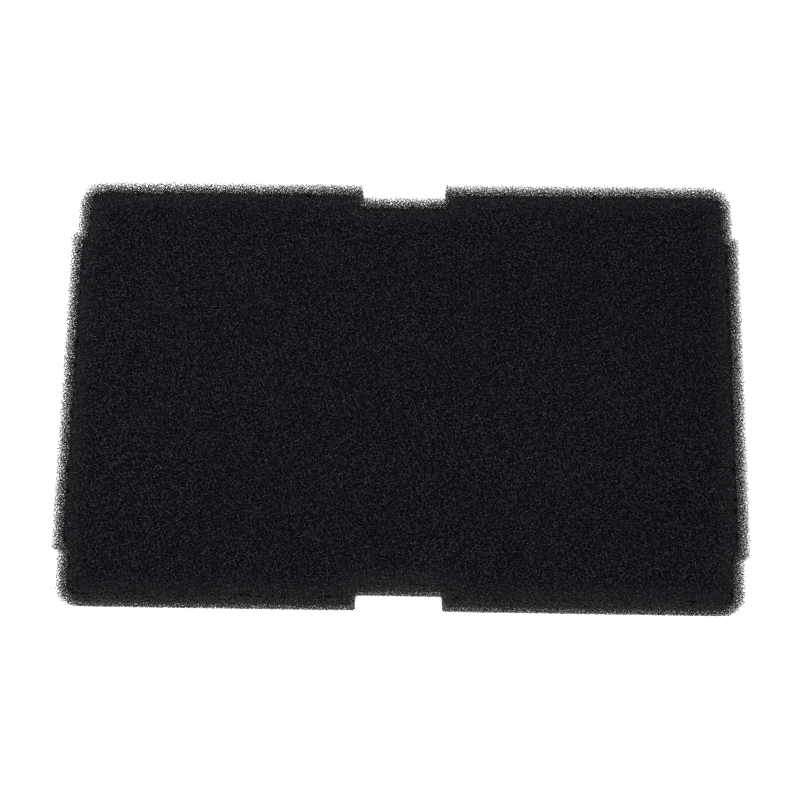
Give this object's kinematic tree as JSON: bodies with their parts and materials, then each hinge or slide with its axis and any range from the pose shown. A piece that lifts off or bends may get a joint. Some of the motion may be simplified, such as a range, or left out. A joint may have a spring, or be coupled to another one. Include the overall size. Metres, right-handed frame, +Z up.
{
  "type": "foam air filter pad",
  "caption": "Flat rectangular open-cell foam air filter pad with rounded corners, a shallow notch in the middle of each long side and small steps near the ends.",
  "frame": {"origin": "centre of the underside, the face that the pad lies on", "axes": "+X along the pad's length, +Y across it from one notched long side to the other, +Z up through its thickness"},
  "size_m": [0.24, 0.1518, 0.01],
  "materials": {
    "filter_foam": "black open-cell polyurethane foam, soft, with small glints on its struts"
  },
  "bodies": {
    "root": {"foam_filter_pad": "filter_foam"}
  },
  "joints": []
}
